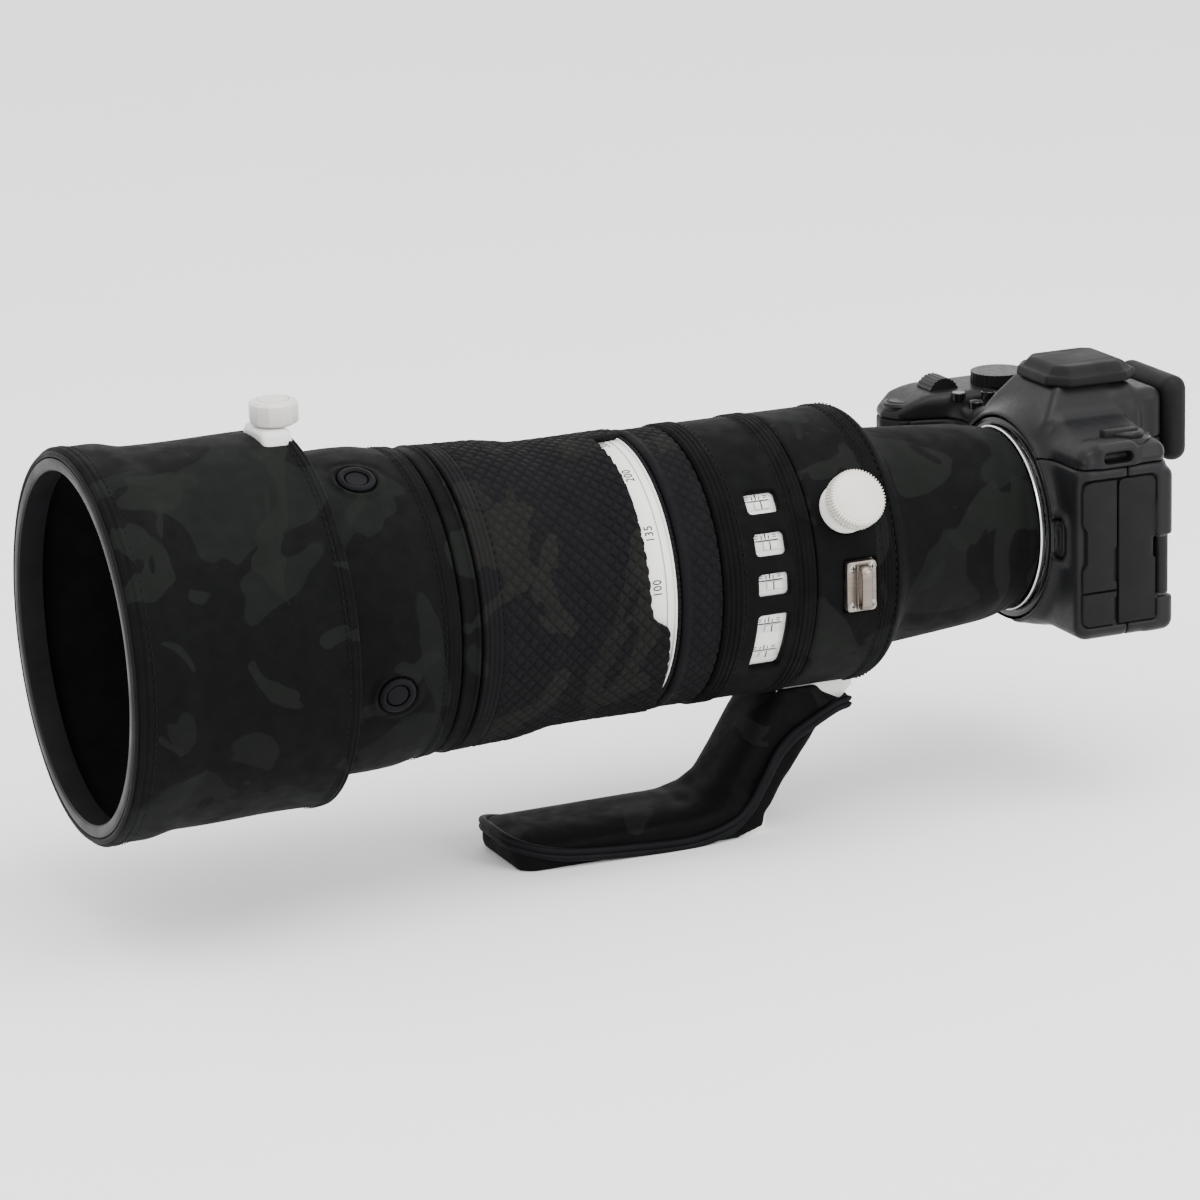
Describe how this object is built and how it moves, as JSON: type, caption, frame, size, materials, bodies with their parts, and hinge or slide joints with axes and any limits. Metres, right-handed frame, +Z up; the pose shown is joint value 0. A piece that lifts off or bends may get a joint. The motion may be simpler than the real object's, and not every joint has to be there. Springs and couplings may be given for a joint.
{
  "type": "camera with tele zoom lens",
  "caption": "Mirrorless camera on a large tele zoom lens in a fitted camouflage fabric coat, with a deep hood and a tripod foot.",
  "frame": {"origin": "centre of the main tripod socket, at the underside of the foot", "axes": "+Z up, the lens axis is parallel to Y and the lens points to -Y, +X is the camera's side with the sockets"},
  "size_m": [0.1558, 0.473, 0.1981],
  "materials": {
    "white_metal": "satin white paint over light alloy",
    "coat_fabric": "black neoprene printed with dark grey-green leaf blotches",
    "black_metal": "black anodised",
    "bright_metal": "polished",
    "bracket_metal": "brushed",
    "screw_steel": "brushed",
    "optical_glass": "coated",
    "optics_black": "matt black cell with glass",
    "body_plastic": "fine textured charcoal",
    "grip_rubber": "leather-grain rubber",
    "soft_rubber": "matt",
    "lip_rubber": "smooth grey",
    "knob_plastic": "warm off-white",
    "switch_plastic": "satin grey",
    "dial_metal": "knurled black",
    "sensor_glass": "coated",
    "screen_gloss": "glossy",
    "battery_case": "matt"
  },
  "bodies": {
    "collar": {"tripod_collar": "white_metal", "tripod_foot": "white_metal", "mounting_screws": "screw_steel", "foot_cover": "coat_fabric", "collar_cover": "coat_fabric", "strap_brackets": "bracket_metal"},
    "lock_knob": {"collar_knob": "knob_plastic"},
    "lens": {"core_tube": "black_metal", "rear_barrel": "white_metal", "rear_cover": "coat_fabric", "lens_bayonet": "bright_metal", "rear_optics": "optics_black", "switch_housing": "white_metal", "switch_cover": "coat_fabric", "front_barrel": "white_metal", "front_barrel_cover": "coat_fabric", "front_lens": "optical_glass"},
    "zoom": {"zoom_ring": "white_metal", "zoom_cover": "coat_fabric"},
    "zoom_carriage": {"zoom_cell": "optics_black"},
    "focus": {"focus_ring": "white_metal", "focus_cover": "coat_fabric"},
    "focus_carriage": {"focus_cell": "optics_black"},
    "control": {"control_ring": "white_metal", "control_cover": "coat_fabric"},
    "hood": {"hood_shell": "white_metal", "hood_lip": "lip_rubber", "hood_cover": "coat_fabric"},
    "hood_screw": {"hood_knob": "knob_plastic"},
    "camera": {"body_shell": "body_plastic", "top_cover": "body_plastic", "rear_shell": "body_plastic", "grip_rubber": "grip_rubber", "body_mount": "bright_metal", "sensor_unit": "sensor_glass", "eyecup": "soft_rubber", "battery": "battery_case"},
    "shoe_cap": {"shoe_cover": "soft_rubber"},
    "shutter": {"shutter_button": "dial_metal"},
    "front_wheel": {"front_dial": "dial_metal"},
    "top_wheel": {"top_dial": "dial_metal"},
    "mode": {"mode_lever": "dial_metal"},
    "screen": {"screen_arm": "body_plastic", "screen_panel": "screen_gloss"},
    "door_front": {"port_door_front": "soft_rubber"},
    "door_lower": {"port_door_lower": "soft_rubber"},
    "door_rear": {"port_door_rear": "soft_rubber"},
    "mount_release": {"lens_release": "dial_metal"},
    "battery_lid": {"battery_door": "body_plastic"},
    "rear_wheel": {"rear_dial": "dial_metal"},
    "keypad": {"rear_buttons": "soft_rubber"},
    "focus_mode_switch_slider": {"focus_mode_switch": "switch_plastic"},
    "focus_limit_switch_slider": {"focus_limit_switch": "switch_plastic"},
    "preset_switch_slider": {"preset_switch": "switch_plastic"},
    "stabiliser_switch_slider": {"stabiliser_switch": "switch_plastic"},
    "stabiliser_mode_switch_slider": {"stabiliser_mode_switch": "switch_plastic"},
    "function_button_upper_right_key": {"function_button_upper_right": "switch_plastic"},
    "function_button_lower_right_key": {"function_button_lower_right": "switch_plastic"},
    "function_button_lower_left_key": {"function_button_lower_left": "switch_plastic"},
    "function_button_upper_left_key": {"function_button_upper_left": "switch_plastic"}
  },
  "joints": [
    {"name": "collar_knob_turn", "type": "hinge", "parent": "collar", "child": "lock_knob", "pos_m": [0.05248, 0.072, 0.14009], "axis": [0.8746, 0, 0.4848], "range_deg": [0, 360]},
    {"name": "lens_roll", "type": "hinge", "parent": "collar", "child": "lens", "pos_m": [0, 0.072, 0.111], "axis": [0, -1, 0], "continuous": true},
    {"name": "zoom_turn", "type": "hinge", "parent": "lens", "child": "zoom", "pos_m": [0, -0.045, 0.111], "axis": [0, -1, 0], "range_deg": [0, 82]},
    {"name": "zoom_carriage_slide", "type": "slide", "parent": "lens", "child": "zoom_carriage", "axis": [0, 1, 0], "range_m": [0, 0.032]},
    {"name": "focus_turn", "type": "hinge", "parent": "lens", "child": "focus", "pos_m": [0, 0.008, 0.111], "axis": [0, -1, 0], "continuous": true},
    {"name": "focus_carriage_slide", "type": "slide", "parent": "lens", "child": "focus_carriage", "axis": [0, -1, 0], "range_m": [0, 0.015]},
    {"name": "control_turn", "type": "hinge", "parent": "lens", "child": "control", "pos_m": [0, -0.09, 0.111], "axis": [0, -1, 0], "continuous": true},
    {"name": "focus_mode_switch_slide", "type": "slide", "parent": "lens", "child": "focus_mode_switch_slider", "axis": [0, -1, 0], "range_m": [0, 0.004]},
    {"name": "focus_limit_switch_slide", "type": "slide", "parent": "lens", "child": "focus_limit_switch_slider", "axis": [0, -1, 0], "range_m": [0, 0.004]},
    {"name": "preset_switch_slide", "type": "slide", "parent": "lens", "child": "preset_switch_slider", "axis": [0, -1, 0], "range_m": [0, 0.004]},
    {"name": "stabiliser_switch_slide", "type": "slide", "parent": "lens", "child": "stabiliser_switch_slider", "axis": [0, -1, 0], "range_m": [0, 0.004]},
    {"name": "stabiliser_mode_switch_slide", "type": "slide", "parent": "lens", "child": "stabiliser_mode_switch_slider", "axis": [0, -1, 0], "range_m": [0, 0.004]},
    {"name": "function_button_upper_right_press", "type": "slide", "parent": "lens", "child": "function_button_upper_right_key", "axis": [-0.3987, 0, -0.9171], "range_m": [0, 0.0008], "stiffness_N_per_m": 500},
    {"name": "function_button_lower_right_press", "type": "slide", "parent": "lens", "child": "function_button_lower_right_key", "axis": [-0.9563, 0, 0.2924], "range_m": [0, 0.0008], "stiffness_N_per_m": 500},
    {"name": "function_button_lower_left_press", "type": "slide", "parent": "lens", "child": "function_button_lower_left_key", "axis": [0.3987, 0, 0.9171], "range_m": [0, 0.0008], "stiffness_N_per_m": 500},
    {"name": "function_button_upper_left_press", "type": "slide", "parent": "lens", "child": "function_button_upper_left_key", "axis": [0.9563, 0, -0.2924], "range_m": [0, 0.0008], "stiffness_N_per_m": 500},
    {"name": "hood_slide", "type": "slide", "parent": "lens", "child": "hood", "axis": [0, -1, 0], "range_m": [0, 0.03]},
    {"name": "hood_knob_turn", "type": "hinge", "parent": "hood", "child": "hood_screw", "pos_m": [0, -0.1445, 0.188], "axis": [0, 0, 1], "range_deg": [0, 360]},
    {"name": "mount_turn", "type": "hinge", "parent": "lens", "child": "camera", "pos_m": [0, 0.17, 0.111], "axis": [0, 1, 0], "range_deg": [0, 60]},
    {"name": "shoe_cover_slide", "type": "slide", "parent": "camera", "child": "shoe_cap", "axis": [0, 1, 0], "range_m": [0, 0.03]},
    {"name": "shutter_press", "type": "slide", "parent": "camera", "child": "shutter", "axis": [0, 0.4067, -0.9135], "range_m": [0, 0.0015], "stiffness_N_per_m": 400},
    {"name": "front_dial_turn", "type": "hinge", "parent": "camera", "child": "front_wheel", "pos_m": [-0.065, 0.173, 0.15], "axis": [1, 0, 0], "continuous": true},
    {"name": "top_dial_turn", "type": "hinge", "parent": "camera", "child": "top_wheel", "pos_m": [-0.06, 0.199, 0.155], "axis": [0, 0, 1], "continuous": true},
    {"name": "mode_lever_turn", "type": "hinge", "parent": "camera", "child": "mode", "pos_m": [0.045, 0.2, 0.151], "axis": [0, 0, 1], "range_deg": [0, 40]},
    {"name": "screen_swing", "type": "hinge", "parent": "camera", "child": "screen", "pos_m": [0.0534, 0.2117, 0.0983], "axis": [0, 0, -1], "range_deg": [0, 175]},
    {"name": "port_door_front_swing", "type": "hinge", "parent": "camera", "child": "door_front", "pos_m": [0.0575, 0.1743, 0.114], "axis": [0, 0, -1], "range_deg": [0, 90]},
    {"name": "port_door_lower_swing", "type": "hinge", "parent": "camera", "child": "door_lower", "pos_m": [0.0575, 0.1743, 0.084], "axis": [0, 0, -1], "range_deg": [0, 90]},
    {"name": "port_door_rear_swing", "type": "hinge", "parent": "camera", "child": "door_rear", "pos_m": [0.0575, 0.1906, 0.107], "axis": [0, 0, -1], "range_deg": [0, 90]},
    {"name": "lens_release_press", "type": "slide", "parent": "camera", "child": "mount_release", "axis": [0, 1, 0], "range_m": [0, 0.002], "stiffness_N_per_m": 400},
    {"name": "battery_door_swing", "type": "hinge", "parent": "camera", "child": "battery_lid", "pos_m": [-0.055, 0.174, 0.072], "axis": [0, -1, 0], "range_deg": [0, 90]},
    {"name": "rear_dial_turn", "type": "hinge", "parent": "camera", "child": "rear_wheel", "pos_m": [-0.062, 0.215, 0.101], "axis": [0, 1, 0], "continuous": true},
    {"name": "rear_buttons_press", "type": "slide", "parent": "camera", "child": "keypad", "axis": [0, -1, 0], "range_m": [0, 0.0006], "stiffness_N_per_m": 600}
  ],
  "couplings": [
    {"joint": "zoom_carriage_slide", "follows": "zoom_turn", "m_per_rad": 0.02235}
  ]
}
